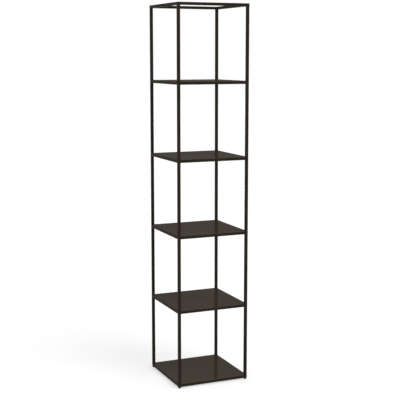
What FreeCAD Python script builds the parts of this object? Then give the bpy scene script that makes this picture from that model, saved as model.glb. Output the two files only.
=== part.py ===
import FreeCAD, Part
import math
import os

# Open tower shelf: four square-tube posts, an open ring at the top, sheet shelves on rings of tube,
# and levelling feet.
# Millimetres, +Z up. The origin is on the floor under the middle of the footprint, and the front faces -Y.

# Overall sizes
overall_width = 406.0
overall_depth = 406.0
bay_height = 387.0
shelf_count = 5

# Square tube of posts and rails
tube_side = 15.0
tube_wall = 1.2
tube_corner_radius = 1.5
tube_inner_corner_share = 0.3

# Shelf sheet
sheet_thickness = 1.2
sheet_edge_round = 0.35
sheet_post_clearance = 0.2

# Threaded plug in the lower end of each post
plug_flange_thickness = 1.2
plug_flange_inset = 0.2
plug_body_length = 18.0
plug_body_clearance = 0.15
plug_entry_chamfer = 0.8

# Levelling foot: pad
pad_radius = 7.0
pad_height = 4.2
pad_floor_round = 1.5
pad_top_round = 0.7
socket_floor = 1.3
socket_lip = 0.9

# Levelling foot: stud
thread_radius = 3.0
thread_length = 22.0
thread_tip_chamfer = 0.7
collar_width = 10.0
collar_height = 2.0
collar_chamfer = 0.4
neck_radius = 2.1
pivot_radius = 2.8

# Clearances of the foot
running_clearance = 0.05
pivot_end_gap = 0.2
collar_gap = 0.3

# How far each cutting shape runs past the face that it cuts
cut_overrun = 1.0

# Heights that follow from the sizes above
foot_drop = pad_height + collar_gap + collar_height + collar_gap + plug_flange_thickness
shelf_build_up = tube_side + sheet_thickness
level_pitch = bay_height + shelf_build_up
top_ring_underside = foot_drop + shelf_count * level_pitch
post_length = top_ring_underside - foot_drop
post_offset_x = (overall_width - tube_side) / 2
post_offset_y = (overall_depth - tube_side) / 2

corners = {
    "front_left": (-post_offset_x, -post_offset_y),
    "front_right": (post_offset_x, -post_offset_y),
    "rear_left": (-post_offset_x, post_offset_y),
    "rear_right": (post_offset_x, post_offset_y),
}


def edge_height(edge):
    """Height of an edge's middle."""
    return edge.BoundBox.Center.z


def upright_edges(solid):
    """Straight edges of a solid that run along Z."""
    return [edge for edge in solid.Edges if edge.BoundBox.ZLength > edge.Length / 2]


def rims(solid):
    """Full round edges of a solid, the lowest first."""
    round_edges = [edge for edge in solid.Edges if isinstance(edge.Curve, Part.Circle) and edge.isClosed()]
    return sorted(round_edges, key=edge_height)


def top_face_edges(solid):
    """Edges of a solid's highest face."""
    return max(solid.Faces, key=lambda face: face.CenterOfMass.z).Edges


def cylinder(radius, height, base=0.0):
    """Cylinder on the Z axis, standing on the height base."""
    return Part.makeCylinder(radius, height, FreeCAD.Vector(0, 0, base))


def centred_box(size_x, size_y, height, base=0.0):
    """Box centred on the Z axis, standing on the height base."""
    return Part.makeBox(size_x, size_y, height, FreeCAD.Vector(-size_x / 2, -size_y / 2, base))


def rounded_bar(side, radius, length, base=0.0):
    """Square bar along Z with round long edges."""
    bar = centred_box(side, side, length, base)
    return bar.makeFillet(radius, upright_edges(bar))


def square_tube(length):
    """Hollow square tube along Z, from zero up."""
    outside = rounded_bar(tube_side, tube_corner_radius, length)
    bore_side = tube_side - 2 * tube_wall
    bore_radius = tube_corner_radius * tube_inner_corner_share
    bore = rounded_bar(bore_side, bore_radius, length + 2 * cut_overrun, -cut_overrun)
    return outside.cut(bore)


def lay_along_x(shape):
    """Turn a shape that runs up from zero so that it runs along X, centred on its length."""
    turned = shape.copy()
    turned.rotate(FreeCAD.Vector(0, 0, 0), FreeCAD.Vector(0, 1, 0), 90)
    turned.translate(FreeCAD.Vector(-turned.BoundBox.Center.x, 0, 0))
    return turned


def lay_along_y(shape):
    """Turn a shape that runs up from zero so that it runs along Y, centred on its length."""
    turned = lay_along_x(shape)
    turned.rotate(FreeCAD.Vector(0, 0, 0), FreeCAD.Vector(0, 0, 1), 90)
    return turned


def moved(shape, x, y, z):
    """Copy of a shape, shifted."""
    placed = shape.copy()
    placed.translate(FreeCAD.Vector(x, y, z))
    return placed


def post(corner):
    """Tube post that stands on its plug and ends under the top ring."""
    x, y = corners[corner]
    return moved(square_tube(post_length), x, y, foot_drop)


def ring_positions():
    """Side name to (runs along X, middle of the tube in X, middle of the tube in Y)."""
    return {
        "front": (True, 0, -post_offset_y),
        "rear": (True, 0, post_offset_y),
        "left": (False, -post_offset_x, 0),
        "right": (False, post_offset_x, 0),
    }


def shelf_rail(side, level):
    """Tube between two posts that carries a shelf sheet, butted to the posts' inner faces."""
    along_x, x, y = ring_positions()[side]
    middle_height = foot_drop + level * level_pitch + tube_side / 2
    if along_x:
        tube = lay_along_x(square_tube(overall_width - 2 * tube_side))
    else:
        tube = lay_along_y(square_tube(overall_depth - 2 * tube_side))
    return moved(tube, x, y, middle_height)


def mitre_prism(side):
    """Prism over the plan of one tube of the top ring, its ends at 45 degrees through the ring's corners."""
    outer_x = overall_width / 2 + cut_overrun
    outer_y = overall_depth / 2 + cut_overrun
    inner_x = overall_width / 2 - tube_side - cut_overrun
    inner_y = overall_depth / 2 - tube_side - cut_overrun
    plans = {
        "front": [(-outer_x, -outer_y), (outer_x, -outer_y), (inner_x, -inner_y), (-inner_x, -inner_y)],
        "rear": [(-outer_x, outer_y), (outer_x, outer_y), (inner_x, inner_y), (-inner_x, inner_y)],
        "left": [(-outer_x, -outer_y), (-outer_x, outer_y), (-inner_x, inner_y), (-inner_x, -inner_y)],
        "right": [(outer_x, -outer_y), (outer_x, outer_y), (inner_x, inner_y), (inner_x, -inner_y)],
    }
    base = top_ring_underside - cut_overrun
    points = [FreeCAD.Vector(x, y, base) for x, y in plans[side]]
    plan = Part.Face(Part.makePolygon(points + points[:1]))
    return plan.extrude(FreeCAD.Vector(0, 0, tube_side + 2 * cut_overrun))


def top_rail(side):
    """Mitred tube of the open ring that closes the four posts at the top."""
    along_x, x, y = ring_positions()[side]
    if along_x:
        tube = lay_along_x(square_tube(overall_width))
    else:
        tube = lay_along_y(square_tube(overall_depth))
    tube = moved(tube, x, y, top_ring_underside + tube_side / 2)
    return tube.common(mitre_prism(side))


def shelf_sheet(level):
    """Flat steel sheet, flush with the outside of its four rails and notched round the posts."""
    underside = foot_drop + level * level_pitch + tube_side
    sheet = centred_box(overall_width, overall_depth, sheet_thickness, underside)
    notch_side = 2 * (tube_side + sheet_post_clearance)
    notch_depth = sheet_thickness + 2 * cut_overrun
    for sign_x in (-1, 1):
        for sign_y in (-1, 1):
            notch = centred_box(notch_side, notch_side, notch_depth, underside - cut_overrun)
            sheet = sheet.cut(moved(notch, sign_x * overall_width / 2, sign_y * overall_depth / 2, 0))
    return sheet.makeFillet(sheet_edge_round, top_face_edges(sheet))


def foot_plug(corner):
    """Plastic plug pressed into a post's lower end, with a threaded hole for the stud."""
    x, y = corners[corner]
    flange_base = foot_drop - plug_flange_thickness
    flange_side = tube_side - 2 * plug_flange_inset
    flange = rounded_bar(flange_side, tube_corner_radius, plug_flange_thickness, flange_base)
    body_side = tube_side - 2 * tube_wall - 2 * plug_body_clearance
    body = centred_box(body_side, body_side, plug_body_length, foot_drop)
    body = body.makeChamfer(plug_entry_chamfer, top_face_edges(body))
    hole_length = plug_flange_thickness + plug_body_length + 2 * cut_overrun
    hole = cylinder(thread_radius + running_clearance, hole_length, flange_base - cut_overrun)
    return moved(flange.fuse(body).cut(hole), x, y, 0)


def foot_pad(corner):
    """Round plastic pad on the floor, with a socket that holds the stud's lower end."""
    x, y = corners[corner]
    pad = cylinder(pad_radius, pad_height)
    pad = pad.makeFillet(pad_floor_round, rims(pad)[:1])
    pad = pad.makeFillet(pad_top_round, rims(pad)[-1:])
    chamber_height = pad_height - socket_floor - socket_lip
    chamber = cylinder(pivot_radius + running_clearance, chamber_height, socket_floor)
    mouth_length = pad_height - socket_floor + cut_overrun
    mouth = cylinder(neck_radius + running_clearance, mouth_length, socket_floor)
    return moved(pad.cut(chamber.fuse(mouth)), x, y, 0)


def hexagon_bar(width, height, base):
    """Six-sided bar along Z, width across its flats."""
    corner_radius = width / math.sqrt(3)
    points = []
    for step in range(7):
        angle = math.radians(60 * step)
        points.append(FreeCAD.Vector(corner_radius * math.cos(angle), corner_radius * math.sin(angle), base))
    return Part.Face(Part.makePolygon(points)).extrude(FreeCAD.Vector(0, 0, height))


def stud_collar(base):
    """Hexagon collar for a spanner, with its sharp corners taken off above and below."""
    collar = hexagon_bar(collar_width, collar_height, base)
    corner_radius = collar_width / math.sqrt(3)
    envelope = cylinder(corner_radius, collar_height, base)
    return collar.common(envelope.makeChamfer(collar_chamfer, rims(envelope)))


def foot_stud(corner):
    """Steel stud: pivot in the pad, neck, hexagon collar and the threaded length in the plug."""
    x, y = corners[corner]
    pivot_base = socket_floor + pivot_end_gap
    pivot_height = pad_height - socket_floor - socket_lip - 2 * pivot_end_gap
    pivot = cylinder(pivot_radius, pivot_height, pivot_base)
    collar_base = pad_height + collar_gap
    neck = cylinder(neck_radius, collar_base - pivot_base, pivot_base)
    thread = cylinder(thread_radius, thread_length, collar_base + collar_height)
    thread = thread.makeChamfer(thread_tip_chamfer, rims(thread)[-1:])
    stud = pivot.fuse([neck, stud_collar(collar_base), thread])
    return moved(stud.removeSplitter(), x, y, 0)


def all_pieces():
    """Node name to solid."""
    pieces = {}
    for corner in corners:
        pieces["post_" + corner] = post(corner)
        pieces["foot_plug_" + corner] = foot_plug(corner)
        pieces["foot_pad_" + corner] = foot_pad(corner)
        pieces["foot_stud_" + corner] = foot_stud(corner)
    for side in ring_positions():
        pieces["top_rail_" + side] = top_rail(side)
    for level in range(shelf_count):
        number = str(level + 1)
        pieces["shelf_sheet_" + number] = shelf_sheet(level)
        for side in ring_positions():
            pieces["shelf_rail_" + side + "_" + number] = shelf_rail(side, level)
    return pieces


os.makedirs("parts", exist_ok=True)
for node, solid in all_pieces().items():
    solid.exportStep(os.path.join("parts", node + ".step"))
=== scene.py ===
import math
import bpy
from mathutils import Matrix, Vector


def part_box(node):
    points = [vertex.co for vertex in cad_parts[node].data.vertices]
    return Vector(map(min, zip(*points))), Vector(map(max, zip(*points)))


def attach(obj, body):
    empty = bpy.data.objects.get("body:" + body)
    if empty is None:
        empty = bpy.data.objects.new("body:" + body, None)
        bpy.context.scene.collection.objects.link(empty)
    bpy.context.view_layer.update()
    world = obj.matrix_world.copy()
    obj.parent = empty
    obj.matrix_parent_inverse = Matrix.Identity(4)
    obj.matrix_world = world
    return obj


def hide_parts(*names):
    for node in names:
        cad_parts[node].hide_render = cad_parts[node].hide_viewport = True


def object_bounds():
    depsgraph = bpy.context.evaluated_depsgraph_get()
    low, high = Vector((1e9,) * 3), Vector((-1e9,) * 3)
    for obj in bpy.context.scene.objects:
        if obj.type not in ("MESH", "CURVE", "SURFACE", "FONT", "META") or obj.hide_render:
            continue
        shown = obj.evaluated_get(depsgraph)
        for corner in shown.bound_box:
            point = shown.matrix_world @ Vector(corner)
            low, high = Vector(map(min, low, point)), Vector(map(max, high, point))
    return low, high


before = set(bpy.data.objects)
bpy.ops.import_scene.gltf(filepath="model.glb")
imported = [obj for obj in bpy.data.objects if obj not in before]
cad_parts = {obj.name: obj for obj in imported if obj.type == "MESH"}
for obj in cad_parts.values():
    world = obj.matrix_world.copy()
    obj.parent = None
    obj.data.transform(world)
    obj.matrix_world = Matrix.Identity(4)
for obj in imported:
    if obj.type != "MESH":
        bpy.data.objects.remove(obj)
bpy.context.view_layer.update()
scene = bpy.context.scene
print("frame loaded:", len(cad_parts), "nodes")

# all lengths are in metres, and the shelf's front faces -Y
nodeLayout = {"columnWidth": 220, "rowHeight": 180}
mixSockets = {"factor": 0, "first": 6, "second": 7, "result": 2}  # places on a Mix node set to colour


# helpers for node trees
def addNode(tree, kind, **settings):
    node = tree.nodes.new(kind)
    for key, value in settings.items():
        setattr(node, key, value)
    return node


def wire(tree, *pairs):
    for source, target in pairs:
        tree.links.new(source, target)


def feed(tree, socket, value):  # an output is linked, anything else is set
    if isinstance(value, bpy.types.NodeSocket):
        tree.links.new(value, socket)
    else:
        socket.default_value = value


def setSockets(node, values):
    for name, value in values.items():
        node.inputs[name].default_value = value


def addMath(tree, operation, first, second=None, clamp=False):
    node = addNode(tree, "ShaderNodeMath", operation=operation, use_clamp=clamp)
    feed(tree, node.inputs[0], first)
    if second is not None:
        feed(tree, node.inputs[1], second)
    return node.outputs[0]


def addRange(tree, value, fromSpan, toSpan, smooth=False):
    kind = "SMOOTHSTEP" if smooth else "LINEAR"
    node = addNode(tree, "ShaderNodeMapRange", interpolation_type=kind)
    names = ("Value", "From Min", "From Max", "To Min", "To Max")
    for name, given in zip(names, (value, *fromSpan, *toSpan)):
        feed(tree, node.inputs[name], given)
    return node.outputs["Result"]


def addNoise(tree, place, scale, detail):
    node = addNode(tree, "ShaderNodeTexNoise")
    node.inputs["Detail"].default_value = detail
    feed(tree, node.inputs["Vector"], place)
    feed(tree, node.inputs["Scale"], scale)
    return node


def mixColour(tree, factor, first, second):
    node = addNode(tree, "ShaderNodeMix", data_type="RGBA")
    for name, value in (("factor", factor), ("first", first), ("second", second)):
        feed(tree, node.inputs[mixSockets[name]], (*value, 1) if isinstance(value, tuple) else value)
    return node.outputs[mixSockets["result"]]


def addSockets(tree, inputs, outputs):
    for name, kind, value in inputs:
        socket = tree.interface.new_socket(name, in_out="INPUT", socket_type="NodeSocket" + kind)
        if value is not None:
            socket.default_value = value
    for name, kind in outputs:
        tree.interface.new_socket(name, in_out="OUTPUT", socket_type="NodeSocket" + kind)
    return addNode(tree, "NodeGroupInput"), addNode(tree, "NodeGroupOutput")


def arrange(tree):  # puts every node in a column left of what it feeds
    column = {node.name: 0 for node in tree.nodes}
    for _ in tree.nodes:
        for link in tree.links:
            source, target = link.from_node.name, link.to_node.name
            column[source] = max(column[source], column[target] + 1)
    filled = {}
    for node in tree.nodes:
        place = column[node.name]
        row = filled.get(place, 0)
        node.location = (-place * nodeLayout["columnWidth"], -row * nodeLayout["rowHeight"])
        filled[place] = row + 1


# helpers for meshes
def growPiece(name, tree, values, startMesh=None):
    piece = bpy.data.objects.new(name, startMesh or bpy.data.meshes.new(name))
    scene.collection.objects.link(piece)
    modifier = piece.modifiers.new(tree.name, "NODES")
    modifier.node_group = tree
    for item in tree.interface.items_tree:
        if item.item_type == "SOCKET" and item.in_out == "INPUT" and item.name in values:
            modifier[item.identifier] = values[item.name]
    depsgraph = bpy.context.evaluated_depsgraph_get()
    plain = bpy.data.meshes.new_from_object(piece.evaluated_get(depsgraph), depsgraph=depsgraph)
    piece.modifiers.remove(modifier)
    piece.data = plain
    plain.name = name
    return piece


def meshPiece(name, points, faces, material, roundFaces=None, edgeValues=None, sharpAngle=None):
    mesh = bpy.data.meshes.new(name)
    mesh.from_pydata(points, [], faces)
    mesh.materials.append(material)
    for index, face in enumerate(mesh.polygons):
        face.use_smooth = roundFaces is None or index in roundFaces
    if sharpAngle:
        mesh.set_sharp_from_angle(angle=math.radians(sharpAngle))
    if edgeValues:
        mesh.attributes.new("edge", "FLOAT", "POINT").data.foreach_set("value", edgeValues)
    mesh.validate()
    piece = bpy.data.objects.new(name, mesh)
    scene.collection.objects.link(piece)
    return piece


def ringFaces(count, around, closed=False):  # quads from ring to ring, and two ends unless it closes
    faces = []
    for low in range(count if closed else count - 1):
        high = (low + 1) % count
        for step in range(around):
            following = (step + 1) % around
            faces.append((
                low * around + step,
                low * around + following,
                high * around + following,
                high * around + step,
            ))
    if not closed:
        last = (count - 1) * around
        faces += [tuple(reversed(range(around))), tuple(range(last, last + around))]
    return faces


# shared effects, each a shader group
grainLook = {
    "peelSize": 0.0016,
    "patchSize": 0.12,
    "fineRate": 2.7,  # fine grain and flecks, this much closer than the peel
    "fleckRate": 1.3,
    "fineHeight": 0.35,
    "detail": {"peel": 1.5, "fine": 0.0, "patch": 3.0, "fleck": 0.0},
    "patchSpan": (0.32, 0.68),
    "fleckSpan": (0.66, 0.74),
}


def makeGrainGroup():  # orange peel of a sprayed coat, with slow patches and fine flecks
    tree = bpy.data.node_groups.new("coatGrain", "ShaderNodeTree")
    start, end = addSockets(
        tree,
        (("Peel Size", "Float", grainLook["peelSize"]), ("Patch Size", "Float", grainLook["patchSize"])),
        (("Height", "Float"), ("Patches", "Float"), ("Flecks", "Float")),
    )
    place = addNode(tree, "ShaderNodeTexCoord").outputs["Object"]
    peelScale = addMath(tree, "DIVIDE", 1, start.outputs["Peel Size"])
    scales = {
        "peel": peelScale,
        "fine": addMath(tree, "MULTIPLY", peelScale, grainLook["fineRate"]),
        "patch": addMath(tree, "DIVIDE", 1, start.outputs["Patch Size"]),
        "fleck": addMath(tree, "MULTIPLY", peelScale, grainLook["fleckRate"]),
    }
    noise = {}
    for name, scale in scales.items():
        noise[name] = addNoise(tree, place, scale, grainLook["detail"][name]).outputs["Fac"]
    fine = addMath(tree, "MULTIPLY", noise["fine"], grainLook["fineHeight"])
    height = addMath(tree, "ADD", noise["peel"], fine)
    patches = addRange(tree, noise["patch"], grainLook["patchSpan"], (0, 1), smooth=True)
    flecks = addRange(tree, noise["fleck"], grainLook["fleckSpan"], (0, 1))
    wire(
        tree,
        (height, end.inputs["Height"]),
        (patches, end.inputs["Patches"]),
        (flecks, end.inputs["Flecks"]),
    )
    arrange(tree)
    return tree


def makeMaskGroup(name, look, addCause):  # where its cause is found, broken up in patches
    tree = bpy.data.node_groups.new(name, "ShaderNodeTree")
    start, end = addSockets(
        tree,
        (("Amount", "Float", look["amount"]), ("Patch Size", "Float", look["patchSize"])),
        (("Mask", "Float"),),
    )
    place = addNode(tree, "ShaderNodeTexCoord").outputs["Object"]
    scale = addMath(tree, "DIVIDE", 1, start.outputs["Patch Size"])
    noise = addNoise(tree, place, scale, look["detail"])
    noise.inputs["Roughness"].default_value = look["noiseRoughness"]
    patches = addRange(tree, noise.outputs["Fac"], look["patchSpan"], (look["least"], 1), look["smooth"])
    both = addMath(tree, "MULTIPLY", addCause(tree), patches)
    mask = addMath(tree, "MULTIPLY", both, start.outputs["Amount"], clamp=True)
    tree.links.new(mask, end.inputs["Mask"])
    arrange(tree)
    return tree


rubLook = {
    "amount": 0.6,
    "patchSize": 0.05,
    "detail": 4.0,
    "noiseRoughness": 0.5,
    "patchSpan": (0.38, 0.62),
    "least": 0.25,  # share left between the patches
    "smooth": True,
    "edgeSpan": (0.15, 0.9),
}


def addSharpEdges(tree):
    edge = addNode(tree, "ShaderNodeAttribute", attribute_name="edge")
    return addRange(tree, edge.outputs["Fac"], rubLook["edgeSpan"], (0, 1), smooth=True)


dustLook = {
    "colour": (0.17, 0.15, 0.13),
    "amount": 0.1,
    "patchSize": 0.09,
    "detail": 6.0,
    "noiseRoughness": 0.62,
    "patchSpan": (0.3, 0.75),
    "least": 0.35,
    "smooth": False,
    "levelSpan": (0.7, 0.98),  # how far a face must look up
}


def addLevelFaces(tree):
    normal = addNode(tree, "ShaderNodeNewGeometry").outputs["Normal"]
    axes = addNode(tree, "ShaderNodeSeparateXYZ")
    tree.links.new(normal, axes.inputs["Vector"])
    return addRange(tree, axes.outputs["Z"], dustLook["levelSpan"], (0, 1))


grainGroup = makeGrainGroup()
rubGroup = makeMaskGroup("edgeRub", rubLook, addSharpEdges)  # rubbed by hands and cartons
dustGroup = makeMaskGroup("restingDust", dustLook, addLevelFaces)  # thin, and on faces that look up


# helpers for finishes
def useGroup(tree, group, values):
    node = addNode(tree, "ShaderNodeGroup", node_tree=group)
    setSockets(node, values)
    return node.outputs


def newMaterial(name, values):
    material = bpy.data.materials.new(name)
    material.use_nodes = True
    shader = material.node_tree.nodes["Principled BSDF"]
    setSockets(shader, values)
    return material, material.node_tree, shader


def dressShader(tree, shader, colour, rough, height, look):
    bump = addNode(tree, "ShaderNodeBump")
    setSockets(bump, {"Strength": look["bump"], "Distance": look["bumpHeight"]})
    wire(
        tree,
        (colour, shader.inputs["Base Color"]),
        (rough, shader.inputs["Roughness"]),
        (height, bump.inputs["Height"]),
        (bump.outputs["Normal"], shader.inputs["Normal"]),
    )
    arrange(tree)


# bronze-brown powder coat, with a thin gloss over it; one coat made in two copies, with painted light and
# painted shade in their colours
coatLook = {
    # painted shade: the tube's colours are the coat darkened for the upright faces, which get less light
    "tube": {
        "colour": (0.0205, 0.0144, 0.0070),
        "second": (0.0178, 0.0126, 0.0062),
        "rubbed": (0.055, 0.045, 0.034),
        "roughness": (0.48, 0.56),
        "shine": 0.03,
        "gloss": 0.012,
        "rub": 0.45,
        "dust": 0.02,
    },
    # painted light: the sheet's colours are the same coat lightened for the shelf tops, which get light
    # from above
    "sheet": {
        "colour": (0.0360, 0.0252, 0.0134),
        "second": (0.0326, 0.0229, 0.0121),
        "rubbed": (0.080, 0.066, 0.050),
        "roughness": (0.58, 0.66),
        "shine": 0.0,
        "gloss": 0.068,
        "rub": 0.75,
        "dust": 0.06,
    },
    "peel": 0.0016,
    "patch": 0.16,
    "rubPatch": 0.045,
    "dustPatch": 0.08,
    "fleckShare": 0.06,
    "rubSmooths": 0.12,
    "dustRoughens": 0.6,
    "bump": 0.7,
    "bumpHeight": 0.000012,
    "glossRoughness": 0.15,
    "glossIndex": 4.0,  # high, so that it mirrors nearly the same from every low angle
}


def makeCoat(name, look):
    material, tree, shader = newMaterial(name, {
        "Specular IOR Level": look["shine"],
        "Coat Weight": look["gloss"],
        "Coat Roughness": coatLook["glossRoughness"],
        "Coat IOR": coatLook["glossIndex"],
    })
    grain = useGroup(tree, grainGroup, {"Peel Size": coatLook["peel"], "Patch Size": coatLook["patch"]})
    rub = useGroup(tree, rubGroup, {"Amount": look["rub"], "Patch Size": coatLook["rubPatch"]})
    dust = useGroup(tree, dustGroup, {"Amount": look["dust"], "Patch Size": coatLook["dustPatch"]})
    flecks = addMath(tree, "MULTIPLY", grain["Flecks"], coatLook["fleckShare"])
    colour = mixColour(tree, grain["Patches"], look["colour"], look["second"])
    colour = mixColour(tree, flecks, colour, look["rubbed"])
    colour = mixColour(tree, rub["Mask"], colour, look["rubbed"])
    colour = mixColour(tree, dust["Mask"], colour, dustLook["colour"])
    rough = addRange(tree, grain["Patches"], (0, 1), look["roughness"])
    rougher = addMath(tree, "MULTIPLY", dust["Mask"], coatLook["dustRoughens"])
    smoother = addMath(tree, "MULTIPLY", rub["Mask"], coatLook["rubSmooths"])
    rough = addMath(tree, "ADD", rough, rougher)
    rough = addMath(tree, "SUBTRACT", rough, smoother, clamp=True)
    dressShader(tree, shader, colour, rough, grain["Height"], coatLook)
    return material


# moulded black nylon
nylonLook = {
    "colour": (0.0135, 0.0128, 0.0120),
    "worn": (0.040, 0.038, 0.036),
    "roughness": (0.50, 0.66),
    "shine": 0.35,
    "peel": 0.0005,
    "patch": 0.006,
    "rub": 0.5,
    "rubPatch": 0.004,
    "dustPatch": 0.01,
    "plugDust": 0.02,
    "padDust": 0.08,
    "bump": 0.8,
    "bumpHeight": 0.000012,
}


def makeNylon(name, dustAmount):
    material, tree, shader = newMaterial(name, {"Specular IOR Level": nylonLook["shine"]})
    grain = useGroup(tree, grainGroup, {"Peel Size": nylonLook["peel"], "Patch Size": nylonLook["patch"]})
    rub = useGroup(tree, rubGroup, {"Amount": nylonLook["rub"], "Patch Size": nylonLook["rubPatch"]})
    dust = useGroup(tree, dustGroup, {"Amount": dustAmount, "Patch Size": nylonLook["dustPatch"]})
    colour = mixColour(tree, rub["Mask"], nylonLook["colour"], nylonLook["worn"])
    colour = mixColour(tree, dust["Mask"], colour, dustLook["colour"])
    rough = addRange(tree, grain["Patches"], (0, 1), nylonLook["roughness"])
    dressShader(tree, shader, colour, rough, grain["Height"], nylonLook)
    return material


# black zinc plate with turned lines, bright where it rubs
zincLook = {
    "colour": (0.115, 0.108, 0.100),
    "bright": (0.42, 0.41, 0.39),
    "roughness": (0.30, 0.46),
    "peel": 0.0006,
    "patch": 0.004,
    "rub": 0.8,
    "rubPatch": 0.003,
    "lines": (120, 120, 2600),  # how close the lines are, across the stud and along it
    "lineDetail": 2,
    "bump": 0.6,
    "bumpHeight": 0.000008,
}


def makeZinc(name):
    material, tree, shader = newMaterial(name, {"Metallic": 1})
    grain = useGroup(tree, grainGroup, {"Peel Size": zincLook["peel"], "Patch Size": zincLook["patch"]})
    rub = useGroup(tree, rubGroup, {"Amount": zincLook["rub"], "Patch Size": zincLook["rubPatch"]})
    place = addNode(tree, "ShaderNodeTexCoord").outputs["Object"]
    stretch = addNode(tree, "ShaderNodeMapping")
    stretch.inputs["Scale"].default_value = zincLook["lines"]
    tree.links.new(place, stretch.inputs["Vector"])
    turned = addNoise(tree, stretch.outputs["Vector"], 1, zincLook["lineDetail"])
    colour = mixColour(tree, rub["Mask"], zincLook["colour"], zincLook["bright"])
    rough = addRange(tree, grain["Patches"], (0, 1), zincLook["roughness"])
    dressShader(tree, shader, colour, rough, turned.outputs["Fac"], zincLook)
    return material


# one coat made twice: the tube's copy has painted shade in its colours, the sheet's copy painted light
tubeCoatPaintedShade = makeCoat("bronzeCoatTube", coatLook["tube"])
sheetCoatPaintedLight = makeCoat("bronzeCoatSheet", coatLook["sheet"])
plugNylon = makeNylon("blackNylonPlug", nylonLook["plugDust"])
padNylon = makeNylon("blackNylonPad", nylonLook["padDust"])
studZinc = makeZinc("blackZincStud")
print("finishes ready")


# square tubes: posts, shelf rails and the mitred top ring
tubeSize = {
    "side": 0.015,
    "wall": 0.0012,
    "outerRadius": 0.0015,
    "innerRadius": 0.00045,
    "arcSteps": 6,
    "arcMiddle": 0.2929,  # share of the radius from a square corner in to the middle of its round
    "flatNormal": 0.99999,  # a face is flat when its normal is this near to an axis
    "mergeWithin": 0.000001,
}


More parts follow.
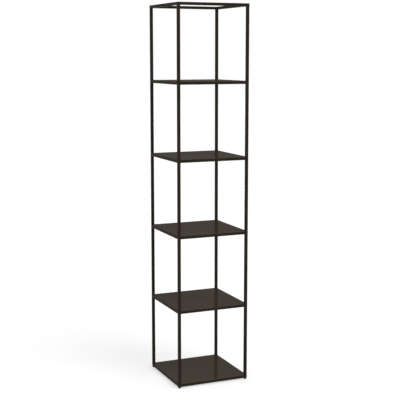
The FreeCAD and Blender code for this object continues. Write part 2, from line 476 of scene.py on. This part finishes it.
def makeTubeTree():
    tree = bpy.data.node_groups.new("squareTube", "GeometryNodeTree")
    start, end = addSockets(
        tree,
        (
            ("Side", "Float", tubeSize["side"]),
            ("Wall", "Float", tubeSize["wall"]),
            ("Outer Radius", "Float", tubeSize["outerRadius"]),
            ("Inner Radius", "Float", tubeSize["innerRadius"]),
            ("Arc Steps", "Int", tubeSize["arcSteps"]),
            ("Length", "Float", 1.0),
            ("Mitre", "Float", 0.0),
            ("Middle", "Vector", None),
            ("Turn", "Vector", None),
            ("Coat", "Material", None),
        ),
        (("Geometry", "Geometry"),),
    )
    given = start.outputs
    twoWalls = addMath(tree, "MULTIPLY", given["Wall"], 2)
    boreSide = addMath(tree, "SUBTRACT", given["Side"], twoWalls)
    section = addNode(tree, "GeometryNodeJoinGeometry")
    for side, radius in ((given["Side"], given["Outer Radius"]), (boreSide, given["Inner Radius"])):
        square = addNode(tree, "GeometryNodeCurvePrimitiveQuadrilateral")
        corner = addNode(tree, "GeometryNodeFilletCurve", mode="POLY")
        wire(
            tree,
            (side, square.inputs["Width"]),
            (side, square.inputs["Height"]),
            (square.outputs["Curve"], corner.inputs["Curve"]),
            (given["Arc Steps"], corner.inputs["Count"]),
            (radius, corner.inputs["Radius"]),
            (corner.outputs["Curve"], section.inputs["Geometry"]),
        )
    # the wall's section is pulled up to the length and closed below
    wallFace = addNode(tree, "GeometryNodeFillCurve", mode="TRIANGLES")
    pull = addNode(tree, "GeometryNodeExtrudeMesh", mode="FACES")
    pull.inputs["Individual"].default_value = False
    lowEnd = addNode(tree, "GeometryNodeFlipFaces")
    shell = addNode(tree, "GeometryNodeJoinGeometry")
    merge = addNode(tree, "GeometryNodeMergeByDistance")
    merge.inputs["Distance"].default_value = tubeSize["mergeWithin"]
    wire(
        tree,
        (section.outputs["Geometry"], wallFace.inputs["Curve"]),
        (wallFace.outputs["Mesh"], pull.inputs["Mesh"]),
        (given["Length"], pull.inputs["Offset Scale"]),
        (wallFace.outputs["Mesh"], lowEnd.inputs["Mesh"]),
        (pull.outputs["Mesh"], shell.inputs["Geometry"]),
        (lowEnd.outputs["Mesh"], shell.inputs["Geometry"]),
        (shell.outputs["Geometry"], merge.inputs["Geometry"]),
    )
    # the ends are cut at 45 degrees where Mitre is 1; +X of the section is the ring's outside
    place = addNode(tree, "GeometryNodeInputPosition")
    axes = addNode(tree, "ShaderNodeSeparateXYZ")
    tree.links.new(place.outputs[0], axes.inputs[0])
    halfLength = addMath(tree, "MULTIPLY", given["Length"], 0.5)
    halfSide = addMath(tree, "MULTIPLY", given["Side"], 0.5)
    fromMiddle = addMath(tree, "SUBTRACT", axes.outputs["Z"], halfLength)
    inward = addMath(tree, "SUBTRACT", halfSide, axes.outputs["X"])
    cut = addMath(tree, "MULTIPLY", inward, given["Mitre"])
    signedCut = addMath(tree, "MULTIPLY", addMath(tree, "SIGN", fromMiddle), cut)
    newZ = addMath(tree, "SUBTRACT", fromMiddle, signedCut)
    newPlace = addNode(tree, "ShaderNodeCombineXYZ")
    shift = addNode(tree, "GeometryNodeSetPosition")
    wire(
        tree,
        (axes.outputs["X"], newPlace.inputs["X"]),
        (axes.outputs["Y"], newPlace.inputs["Y"]),
        (newZ, newPlace.inputs["Z"]),
        (merge.outputs["Geometry"], shift.inputs["Geometry"]),
        (newPlace.outputs[0], shift.inputs["Position"]),
    )
    # the rubbed edges need how near a point is to the middle of an outer corner
    acrossX = addMath(tree, "ABSOLUTE", axes.outputs["X"])
    acrossY = addMath(tree, "ABSOLUTE", axes.outputs["Y"])
    across = addMath(tree, "MULTIPLY", acrossX, acrossY)
    straight = addMath(tree, "SUBTRACT", halfSide, given["Outer Radius"])
    fromCorner = addMath(tree, "MULTIPLY", given["Outer Radius"], tubeSize["arcMiddle"])
    roundMiddle = addMath(tree, "SUBTRACT", halfSide, fromCorner)
    edgeLow = addMath(tree, "MULTIPLY", halfSide, straight)
    edgeHigh = addMath(tree, "MULTIPLY", roundMiddle, roundMiddle)
    nearEdge = addRange(tree, across, (edgeLow, edgeHigh), (0, 1))
    edgeStore = addNode(tree, "GeometryNodeStoreNamedAttribute", data_type="FLOAT", domain="POINT")
    edgeStore.inputs["Name"].default_value = "edge"
    # only the round corners are shaded smooth
    normal = addNode(tree, "GeometryNodeInputNormal")
    squareOn = addNode(tree, "ShaderNodeVectorMath", operation="ABSOLUTE")
    parts = addNode(tree, "ShaderNodeSeparateXYZ")
    biggest = addMath(tree, "MAXIMUM", parts.outputs["X"], parts.outputs["Y"])
    biggest = addMath(tree, "MAXIMUM", biggest, parts.outputs["Z"])
    roundFace = addMath(tree, "LESS_THAN", biggest, tubeSize["flatNormal"])
    shade = addNode(tree, "GeometryNodeSetShadeSmooth", domain="FACE")
    put = addNode(tree, "GeometryNodeTransform")
    turn = addNode(tree, "FunctionNodeEulerToRotation")
    finish = addNode(tree, "GeometryNodeRealizeInstances")
    coat = addNode(tree, "GeometryNodeSetMaterial")
    wire(
        tree,
        (shift.outputs["Geometry"], edgeStore.inputs["Geometry"]),
        (nearEdge, edgeStore.inputs["Value"]),
        (normal.outputs[0], squareOn.inputs[0]),
        (squareOn.outputs[0], parts.inputs[0]),
        (edgeStore.outputs["Geometry"], shade.inputs["Geometry"]),
        (roundFace, shade.inputs["Shade Smooth"]),
        (shade.outputs["Geometry"], put.inputs["Geometry"]),
        (given["Middle"], put.inputs["Translation"]),
        (given["Turn"], turn.inputs["Euler"]),
        (turn.outputs["Rotation"], put.inputs["Rotation"]),
        (put.outputs["Geometry"], finish.inputs["Geometry"]),
        (finish.outputs["Geometry"], coat.inputs["Geometry"]),
        (given["Coat"], coat.inputs["Material"]),
        (coat.outputs["Geometry"], end.inputs["Geometry"]),
    )
    arrange(tree)
    return tree


tubeTree = makeTubeTree()
tubeNodes = sorted(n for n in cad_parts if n.startswith(("post_", "shelf_rail_", "top_rail_")))
for node in tubeNodes:
    low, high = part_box(node)
    middle = (low + high) / 2
    size = high - low
    along = max(range(3), key=lambda axis: size[axis])
    direction = Vector([float(axis == along) for axis in range(3)])
    if node.startswith("post_"):
        outward = Vector((1, 0, 0))
    else:
        outward = Vector((middle.x, middle.y, 0)).normalized()
        outward -= outward.dot(direction) * direction
    turned = Matrix((outward, direction.cross(outward), direction)).transposed()
    piece = growPiece(node + "_tube", tubeTree, {
        "Length": size[along],
        "Mitre": float(node.startswith("top_rail_")),
        "Middle": tuple(middle),
        "Turn": tuple(turned.to_euler()),
        "Coat": tubeCoatPaintedShade,
    })
    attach(piece, "frame")
    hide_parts(node)
print("tubes made:", len(tubeNodes))


# shelf sheets, notched round the posts, with a rolled edge
sheetSize = {
    "notch": 0.0152,
    "edgeRound": 0.00035,
    "underRound": 0.00012,
    "arcSteps": 5,
    "edgeWear": 1.0,
    "underWear": 0.4,
}


def sheetLoop(low, high, inset, z):  # the sheet's outline, drawn in by the inset
    notch = sheetSize["notch"] + inset
    west, inWest, inEast, east = low.x + inset, low.x + notch, high.x - notch, high.x - inset
    south, inSouth, inNorth, north = low.y + inset, low.y + notch, high.y - notch, high.y - inset
    plan = (
        (inWest, south), (inEast, south), (inEast, inSouth), (east, inSouth),
        (east, inNorth), (inEast, inNorth), (inEast, north), (inWest, north),
        (inWest, inNorth), (west, inNorth), (west, inSouth), (inWest, inSouth),
    )
    return [(x, y, z) for x, y in plan]


def makeSheet(node):
    low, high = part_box(node)
    steps = sheetSize["arcSteps"]
    rounds = (
        (low.z, 1, sheetSize["underRound"], sheetSize["underWear"], range(steps, -1, -1)),
        (high.z, -1, sheetSize["edgeRound"], sheetSize["edgeWear"], range(steps + 1)),
    )
    loops = []
    edgeValues = []
    for face, inward, radius, wear, order in rounds:
        for step in order:
            angle = math.pi / 2 * step / steps
            z = face + inward * radius * (1 - math.sin(angle))
            loops.append(sheetLoop(low, high, radius * (1 - math.cos(angle)), z))
            edgeValues += [wear * math.sin(2 * angle)] * len(loops[-1])
    around = len(loops[0])
    points = [point for loop in loops for point in loop]
    faces = ringFaces(len(loops), around)
    uprightWall = range(steps * around, (steps + 1) * around)
    roundFaces = set(range((len(loops) - 1) * around)) - set(uprightWall)
    return meshPiece(node + "_plate", points, faces, sheetCoatPaintedLight, roundFaces, edgeValues)


sheetNodes = sorted(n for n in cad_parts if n.startswith("shelf_sheet_"))
for node in sheetNodes:
    piece = makeSheet(node)
    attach(piece, "frame")
    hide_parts(node)
print("sheets made:", len(sheetNodes))


# weld beads, sprayed over with the coat
weldSize = {
    "radius": 0.00062,
    "round": 6,
    "ripple": 0.0018,
    "stepsPerRipple": 3,
    "depth": 0.18,
    "uneven": 0.5,
    "unevenScale": 260,
    "seed": 3.0,
    "endShare": 0.5,  # how slim a bead starts and stops
    "seam": 1,  # this, the fillet and the stitch bead are times the radius
    "fillet": 2.6,
    "stitchBead": 1.2,
    "sunk": 0.00068,
    "intoGroove": 0.00045,
    "proud": 0.0004,
    "endGap": 0.0018,
    "stitch": 0.018,
    "stitchPlaces": (-0.12, 0.0, 0.12),
}


def makeWeldTree():
    tree = bpy.data.node_groups.new("weldBead", "GeometryNodeTree")
    start, end = addSockets(
        tree,
        (
            ("Paths", "Geometry", None),
            ("Bead Radius", "Float", weldSize["radius"]),
            ("Ripple", "Float", weldSize["ripple"]),
            ("Depth", "Float", weldSize["depth"]),
            ("Uneven", "Float", weldSize["uneven"]),
            ("Round", "Int", weldSize["round"]),
            ("Seed", "Float", weldSize["seed"]),
            ("Coat", "Material", None),
        ),
        (("Geometry", "Geometry"),),
    )
    given = start.outputs
    path = addNode(tree, "GeometryNodeMeshToCurve")
    dots = addNode(tree, "GeometryNodeResampleCurve", mode="LENGTH")
    dotGap = addMath(tree, "DIVIDE", given["Ripple"], weldSize["stepsPerRipple"])
    along = addNode(tree, "GeometryNodeSplineParameter").outputs["Length"]
    whole = addNode(tree, "GeometryNodeSplineLength").outputs["Length"]
    # puddles one after another along the seam
    turns = addMath(tree, "DIVIDE", along, given["Ripple"])
    wave = addMath(tree, "COSINE", addMath(tree, "MULTIPLY", turns, math.tau))
    puddle = addMath(tree, "MULTIPLY", wave, given["Depth"])
    # slimmer where the bead starts and stops
    left = addMath(tree, "SUBTRACT", whole, along)
    toEnd = addMath(tree, "MINIMUM", along, left)
    taper = addRange(tree, toEnd, (0, given["Ripple"]), (weldSize["endShare"], 1), smooth=True)
    # a little thicker or thinner from place to place
    wander = addNode(tree, "ShaderNodeTexNoise", noise_dimensions="4D")
    wander.inputs["Scale"].default_value = weldSize["unevenScale"]
    offMiddle = addMath(tree, "SUBTRACT", wander.outputs["Fac"], 0.5)
    drift = addMath(tree, "MULTIPLY", offMiddle, given["Uneven"])
    swell = addMath(tree, "ADD", puddle, drift)
    grown = addMath(tree, "MULTIPLY", addMath(tree, "ADD", swell, 1), taper)
    size = addNode(tree, "GeometryNodeInputNamedAttribute", data_type="FLOAT")
    size.inputs["Name"].default_value = "size"
    sized = addMath(tree, "MULTIPLY", grown, size.outputs["Attribute"])
    thick = addNode(tree, "GeometryNodeSetCurveRadius")
    ring = addNode(tree, "GeometryNodeCurvePrimitiveCircle")
    bead = addNode(tree, "GeometryNodeCurveToMesh")
    bead.inputs["Fill Caps"].default_value = True
    shade = addNode(tree, "GeometryNodeSetShadeSmooth")
    finish = addNode(tree, "GeometryNodeRealizeInstances")
    coat = addNode(tree, "GeometryNodeSetMaterial")
    wire(
        tree,
        (given["Paths"], path.inputs["Mesh"]),
        (path.outputs["Curve"], dots.inputs["Curve"]),
        (dotGap, dots.inputs["Length"]),
        (given["Seed"], wander.inputs["W"]),
        (dots.outputs["Curve"], thick.inputs["Curve"]),
        (sized, thick.inputs["Radius"]),
        (given["Round"], ring.inputs["Resolution"]),
        (given["Bead Radius"], ring.inputs["Radius"]),
        (thick.outputs["Curve"], bead.inputs["Curve"]),
        (ring.outputs["Curve"], bead.inputs["Profile Curve"]),
        (bead.outputs["Mesh"], shade.inputs["Geometry"]),
        (shade.outputs["Geometry"], finish.inputs["Geometry"]),
        (finish.outputs["Geometry"], coat.inputs["Geometry"]),
        (given["Coat"], coat.inputs["Material"]),
        (coat.outputs["Geometry"], end.inputs["Geometry"]),
    )
    arrange(tree)
    return tree


def postSeams(half):  # (size, points) of each seam round the post at +X +Y
    side, gap, proud = tubeSize["side"], weldSize["endGap"], weldSize["proud"]
    seam, fillet = weldSize["seam"], weldSize["fillet"]
    out = half - weldSize["sunk"]
    groove = half - side + weldSize["intoGroove"]
    inner = half - side - proud
    far, near = half - gap, half - side + gap
    seams = []

    def addUpright(size, x, y, base):
        seams.append((size, [(x, y, base + gap), (x, y, base + side - gap)]))

    def addUnder(z):
        seams.append((fillet, [(inner, far, z), (inner, near, z)]))
        seams.append((fillet, [(far, inner, z), (near, inner, z)]))

    rails = sorted(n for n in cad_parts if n.startswith("shelf_rail_front_"))
    for level, node in enumerate(rails):
        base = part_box(node)[0].z
        addUpright(seam, groove, out, base)
        addUpright(seam, out, groove, base)
        addUpright(fillet, inner, inner, base)
        if level:  # the lowest rails end level with the post
            addUnder(base - proud)
    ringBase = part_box("top_rail_front")[0].z
    ringSeam = ringBase + weldSize["intoGroove"]
    seams.append((seam, [(near, out, ringSeam), (out, out, ringSeam), (out, near, ringSeam)]))
    addUnder(ringBase - proud)
    addUpright(fillet, inner, inner, ringBase)
    return seams


def stitchSeams(half):  # (size, points) of the short stitches between each sheet and its rails
    groove = half - tubeSize["side"] + weldSize["intoGroove"]
    size, reach = weldSize["stitchBead"], weldSize["stitch"] / 2
    seams = []
    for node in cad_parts:
        if node.startswith("shelf_sheet_"):
            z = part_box(node)[0].z - weldSize["sunk"]
            for line in (-groove, groove):
                for middle in weldSize["stitchPlaces"]:
                    first, last = middle - reach, middle + reach
                    seams.append((size, [(first, line, z), (last, line, z)]))
                    seams.append((size, [(line, first, z), (line, last, z)]))
    return seams


def makeWelds():
    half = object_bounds()[1][0]  # the footprint is square
    atPost = postSeams(half)
    seams = []
    for signX in (-1, 1):
        for signY in (-1, 1):
            for size, path in atPost:
                seams.append((size, [(signX * x, signY * y, z) for x, y, z in path]))
    seams += stitchSeams(half)
    points, edges, sizes = [], [], []
    for size, path in seams:
        edges += [(len(points) + step, len(points) + step + 1) for step in range(len(path) - 1)]
        points += path
        sizes += [size] * len(path)
    lines = bpy.data.meshes.new("weldLines")
    lines.from_pydata(points, edges, [])
    lines.attributes.new("size", "FLOAT", "POINT").data.foreach_set("value", sizes)
    piece = growPiece("weld_beads", makeWeldTree(), {"Coat": tubeCoatPaintedShade}, lines)
    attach(piece, "frame")
    print("weld beads made:", len(seams), "seams,", len(piece.data.polygons), "faces")


makeWelds()


# rings of points that the levelling feet are lofted from
def circleRing(radius, z, around, cutBack=None):
    ring = []
    for step in range(around):
        angle = math.tau * step / around
        reach = radius - (cutBack(angle) if cutBack else 0)
        ring.append((reach * math.cos(angle), reach * math.sin(angle), z))
    return ring


def squareRing(side, radius, z, around):  # square with round corners, its points at even angles
    middle = side / 2 - radius
    ring = []
    for step in range(around):
        angle = math.tau * step / around
        across, along = abs(math.cos(angle)), abs(math.sin(angle))
        reach = side / 2 / max(across, along)
        if min(across, along) * reach > middle:
            toCorner = (across + along) * middle
            reach = toCorner + math.sqrt(toCorner ** 2 - 2 * middle ** 2 + radius ** 2)
        ring.append((reach * math.cos(angle), reach * math.sin(angle), z))
    return ring


def ringPiece(node, ending, wornRings, material, closed=False, sharpAngle=32):
    # wornRings holds pairs of a ring and how far its edge is rubbed
    low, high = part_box(node)
    middle = (low + high) / 2
    points = [(x + middle.x, y + middle.y, z) for ring, wear in wornRings for x, y, z in ring]
    edgeValues = [wear for ring, wear in wornRings for point in ring]
    faces = ringFaces(len(wornRings), len(wornRings[0][0]), closed)
    return meshPiece(node + ending, points, faces, material, None, edgeValues, sharpAngle)


# plug pressed into the lower end of a post
plugSize = {
    "flange": 0.0012,
    "cornerRadius": 0.0015,
    "bodyClear": 0.00015,
    "core": 0.0007,
    "coreRadius": 0.0004,
    "soft": 0.0001,  # small bevels
    "fins": 5,
    "finThick": 0.0011,
    "finCrest": 0.5,  # share of a fin's height below its slope
    "finStart": 0.6,  # share of a step before its fin
    "topSteps": 0.5,  # length left over the last fin, in steps
    "chamfer": 0.0008,
    "hole": 0.00305,
    "countersink": 0.0004,
    "around": 96,
    "wear": {"hole": 0.3, "sole": 0.6, "rim": 0.8, "shoulder": 0.5, "tuck": 0.3, "fin": 0.5, "top": 0.2},
}


def makePlug(node):
    low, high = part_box(node)
    base, shoulder, top = low.z, low.z + plugSize["flange"], high.z
    around, soft, wear = plugSize["around"], plugSize["soft"], plugSize["wear"]
    flange, corner = high.x - low.x, plugSize["cornerRadius"]
    body = tubeSize["side"] - 2 * tubeSize["wall"] - 2 * plugSize["bodyClear"]
    core, coreCorner = body - 2 * plugSize["core"], plugSize["coreRadius"]
    hole, sink, chamfer = plugSize["hole"], plugSize["countersink"], plugSize["chamfer"]
    rings = [
        (circleRing(hole + sink, base, around), wear["hole"]),
        (squareRing(flange - 2 * soft, corner, base, around), wear["sole"]),
        (squareRing(flange, corner, base + soft, around), wear["rim"]),
        (squareRing(flange, corner, shoulder - soft, around), wear["shoulder"]),
        (squareRing(flange - 2 * soft, corner, shoulder, around), wear["tuck"]),
        (squareRing(core, coreCorner, shoulder, around), 0),
    ]
    # fins that grip the tube's bore, sloped above so that they slide in
    step = (top - shoulder) / (plugSize["fins"] + plugSize["topSteps"])
    for fin in range(plugSize["fins"]):
        foot = shoulder + step * (fin + plugSize["finStart"])
        crest = foot + plugSize["finThick"] * plugSize["finCrest"]
        rings += [
            (squareRing(core, coreCorner, foot, around), 0),
            (squareRing(body, coreCorner, foot + soft, around), wear["fin"]),
            (squareRing(body, coreCorner, crest, around), wear["fin"]),
            (squareRing(core, coreCorner, foot + plugSize["finThick"], around), 0),
        ]
    rings += [
        (squareRing(core, coreCorner, top - chamfer, around), 0),
        (squareRing(core - 2 * chamfer, coreCorner, top, around), wear["top"]),
        (circleRing(hole, top, around), wear["top"]),
        (circleRing(hole, base + sink, around), 0),
    ]
    return ringPiece(node, "_moulding", rings, plugNylon, closed=True)


# pad on the floor, with the socket that holds the stud's lower end
padSize = {
    "radius": 0.007,
    "floorRound": 0.0015,
    "floorSteps": 6,
    "topRound": 0.0007,
    "topSteps": 5,
    "socketFloor": 0.0013,
    "lip": 0.0009,
    "chamber": 0.00285,
    "mouth": 0.00215,
    "grips": 24,
    "gripDepth": 0.0002,
    "treads": (0.0018, 0.0030, 0.0042),
    "treadDepth": 0.00025,
    "treadHalf": 0.00025,
    "treadFloor": 0.6,  # share of a tread's width at its floor
    "middle": 0.0002,
    "around": 96,
    "wear": {"tread": 0.4, "floorEdge": 0.6, "grip": 0.3, "topEdge": 0.7, "socket": 0.2},
}


def makePad(node):
    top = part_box(node)[1].z
    radius, depth, wear = padSize["radius"], padSize["gripDepth"], padSize["wear"]
    rings = []

    def put(reach, z, worn=0, cutBack=None):
        rings.append((circleRing(reach, z, padSize["around"], cutBack), worn))

    def grip(angle):
        return depth * (0.5 + 0.5 * math.cos(angle * padSize["grips"]))

    put(padSize["middle"], 0)
    half = padSize["treadHalf"]
    narrow = half * padSize["treadFloor"]
    for tread in padSize["treads"]:  # rings cut in the sole
        put(tread - half, 0, wear["tread"])
        put(tread - narrow, padSize["treadDepth"])
        put(tread + narrow, padSize["treadDepth"])
        put(tread + half, 0, wear["tread"])
    bend = padSize["floorRound"]
    for step in range(padSize["floorSteps"] + 1):
        angle = math.pi / 2 * step / padSize["floorSteps"]
        worn = wear["floorEdge"] * math.sin(2 * angle)
        put(radius - bend * (1 - math.sin(angle)), bend * (1 - math.cos(angle)), worn)
    # grips round the side, fading out at both ends
    sideTop = top - padSize["topRound"]
    gripLow, gripHigh = bend + depth, sideTop - depth
    put(radius, gripLow)
    put(radius, gripLow + depth, wear["grip"], grip)
    put(radius, gripHigh - depth, wear["grip"], grip)
    put(radius, gripHigh)
    bend = padSize["topRound"]
    for step in range(padSize["topSteps"] + 1):
        angle = math.pi / 2 * step / padSize["topSteps"]
        worn = wear["topEdge"] * math.sin(2 * angle)
        put(radius - bend * (1 - math.cos(angle)), sideTop + bend * math.sin(angle), worn)
    mouth, chamber = padSize["mouth"], padSize["chamber"]
    ceiling, floor = top - padSize["lip"], padSize["socketFloor"]
    for reach, z in (
        (mouth + depth, top), (mouth, top - depth), (mouth, ceiling),
        (chamber, ceiling), (chamber, floor), (padSize["middle"], floor),
    ):
        put(reach, z, wear["socket"])
    return ringPiece(node, "_moulding", rings, padNylon)


# stud: pivot in the pad, neck, hexagon collar and a right-hand thread
studSize = {
    "pivot": 0.0028,
    "pivotLow": 0.0015,
    "pivotHigh": 0.0031,
    "neck": 0.0021,
    "acrossFlats": 0.010,
    "collarLow": 0.0045,
    "collarHigh": 0.0065,
    "collarChamfer": 0.0004,
    "thread": 0.003,
    "root": 0.00246,
    "pitch": 0.001,
    "crestHalf": 0.07,  # this and the flank are shares of the pitch
    "flank": 0.31,
    "ringsPerTurn": 10,
    "tipChamfer": 0.0007,
    "around": 48,
    "wear": {"pivot": 0.5, "chamfer": 0.8, "flats": 0.3, "thread": 0.35},
}


def hexagonRing(z, inset):
    flat = studSize["acrossFlats"] / 2
    corner = studSize["acrossFlats"] / math.sqrt(3)

    def cutBack(angle):
        toFlat = angle % (math.pi / 3) - math.pi / 6
        return corner - min(flat / math.cos(toFlat), corner - inset)

    return circleRing(corner, z, studSize["around"], cutBack)


def threadRing(z, grown, tip):  # the thread stands out by its share grown, and ends in the tip's chamfer
    depth = studSize["thread"] - studSize["root"]

    def cutBack(angle):
        phase = (z / studSize["pitch"] - angle / math.tau) % 1
        flank = min(1, max(0, (abs(phase - 0.5) - studSize["crestHalf"]) / studSize["flank"]))
        return max(depth * (1 - (1 - flank) * grown), tip)

    return circleRing(studSize["thread"], z, studSize["around"], cutBack)


def makeStud(node):
    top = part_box(node)[1].z
    around, wear = studSize["around"], studSize["wear"]
    pivot, neck, chamfer = studSize["pivot"], studSize["neck"], studSize["collarChamfer"]
    pivotLow, pivotHigh = studSize["pivotLow"], studSize["pivotHigh"]
    collarLow, collarHigh = studSize["collarLow"], studSize["collarHigh"]
    soft = chamfer / 2
    rings = [
        (circleRing(pivot - soft, pivotLow, around), wear["pivot"]),
        (circleRing(pivot, pivotLow + soft, around), wear["pivot"]),
        (circleRing(pivot, pivotHigh - soft, around), wear["pivot"]),
        (circleRing(pivot - soft, pivotHigh, around), wear["pivot"]),
        (circleRing(neck, pivotHigh, around), 0),
        (circleRing(neck, collarLow, around), 0),
    ]
    for z, inset in (
        (collarLow, chamfer), (collarLow + soft, soft), (collarLow + chamfer, 0),
        (collarHigh - chamfer, 0), (collarHigh - soft, soft), (collarHigh, chamfer),
    ):
        rings.append((hexagonRing(z, inset), wear["chamfer"] if inset else wear["flats"]))
    length = top - collarHigh
    count = round(length / studSize["pitch"] * studSize["ringsPerTurn"])
    for step in range(count + 1):
        z = collarHigh + length * step / count
        grown = min(1, step / studSize["ringsPerTurn"])
        tip = max(0, z - top + studSize["tipChamfer"])
        rings.append((threadRing(z, grown, tip), wear["thread"]))
    return ringPiece(node, "_turned", rings, studZinc)


# start of the node's name, maker, body and material slot
footKinds = (
    ("foot_pad_", makePad, "pad_{}", "pad_plastic"),
    ("foot_plug_", makePlug, "frame", "plug_plastic"),
    ("foot_stud_", makeStud, "stud_{}", "stud_steel"),
)
feetMade = 0
for start, make, body, slot in footKinds:
    for node in sorted(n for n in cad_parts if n.startswith(start)):
        piece = make(node)
        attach(piece, body.format(node.removeprefix(start)))
        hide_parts(node)
        feetMade += 1
print("foot pieces made:", feetMade)


# floor, light and camera
studio = {
    "white": (1, 1, 1, 1),
    "ambient": 0.65,
    "sun": 1.64,
    "sunHeight": 42,
    "sunSide": 28,
    "sunAngle": 45,
    "floorTone": (0.5, 0.5, 0.5, 1),
    "floorLift": 0.56,
    "floorHalf": 30,
}


def backgroundRays(tree):  # 1 for rays from the camera, a mirror or glass
    path = addNode(tree, "ShaderNodeLightPath").outputs
    both = addMath(tree, "ADD", path["Is Camera Ray"], path["Is Glossy Ray"])
    return addMath(tree, "ADD", both, path["Is Transmission Ray"], clamp=True)


def makeWorld():
    world = bpy.data.worlds.new("paleStudio")
    scene.world = world
    world.use_nodes = True
    tree = world.node_tree
    light = tree.nodes["Background"]
    setSockets(light, {"Color": studio["white"], "Strength": studio["ambient"]})
    background = addNode(tree, "ShaderNodeBackground")
    setSockets(background, {"Color": studio["white"], "Strength": 1})
    mix = addNode(tree, "ShaderNodeMixShader")
    wire(
        tree,
        (backgroundRays(tree), mix.inputs[0]),
        (light.outputs[0], mix.inputs[1]),
        (background.outputs[0], mix.inputs[2]),
        (mix.outputs[0], tree.nodes["World Output"].inputs["Surface"]),
    )
    arrange(tree)


def makeFloor():
    material = bpy.data.materials.new("paleFloor")
    material.use_nodes = True
    tree = material.node_tree
    tree.nodes.remove(tree.nodes["Principled BSDF"])
    paper = addNode(tree, "ShaderNodeBsdfDiffuse")
    paper.inputs["Color"].default_value = studio["floorTone"]
    lift = addNode(tree, "ShaderNodeEmission")
    both = addNode(tree, "ShaderNodeAddShader")
    wire(
        tree,
        (addMath(tree, "MULTIPLY", backgroundRays(tree), studio["floorLift"]), lift.inputs["Strength"]),
        (paper.outputs[0], both.inputs[0]),
        (lift.outputs[0], both.inputs[1]),
        (both.outputs[0], tree.nodes["Material Output"].inputs["Surface"]),
    )
    arrange(tree)
    half = studio["floorHalf"]
    corners = [(-half, -half, 0), (half, -half, 0), (half, half, 0), (-half, half, 0)]
    floor = meshPiece("floor", corners, [(0, 1, 2, 3)], material)


def makeSun():
    lamp = bpy.data.lights.new("softSun", "SUN")
    lamp.energy = studio["sun"]
    lamp.angle = math.radians(studio["sunAngle"])
    sun = bpy.data.objects.new("softSun", lamp)
    scene.collection.objects.link(sun)
    sun.rotation_euler = (math.radians(90 - studio["sunHeight"]), 0, math.radians(studio["sunSide"]))


# fitted to the photograph, in a frame of 400 by 400
cameraPlace = {
    "place": (-2.0712, -4.8081, 1.7667),
    "turn": 0.4083,
    "pitch": -0.1482,
    "focalPixels": 964.2,
    "framePixels": 400,
    "sensor": 36,
    "reach": 100,
}


def makeCamera():
    lens = bpy.data.cameras.new("view")
    lens.sensor_width = cameraPlace["sensor"]
    lens.lens = cameraPlace["sensor"] * cameraPlace["focalPixels"] / cameraPlace["framePixels"]
    lens.clip_end = cameraPlace["reach"]
    camera = bpy.data.objects.new("view", lens)
    scene.collection.objects.link(camera)
    camera.location = cameraPlace["place"]
    camera.rotation_euler = (math.pi / 2 + cameraPlace["pitch"], 0, -cameraPlace["turn"])
    scene.camera = camera


makeWorld()
makeFloor()
makeSun()
makeCamera()
scene.view_settings.view_transform = "Standard"
print("studio ready")
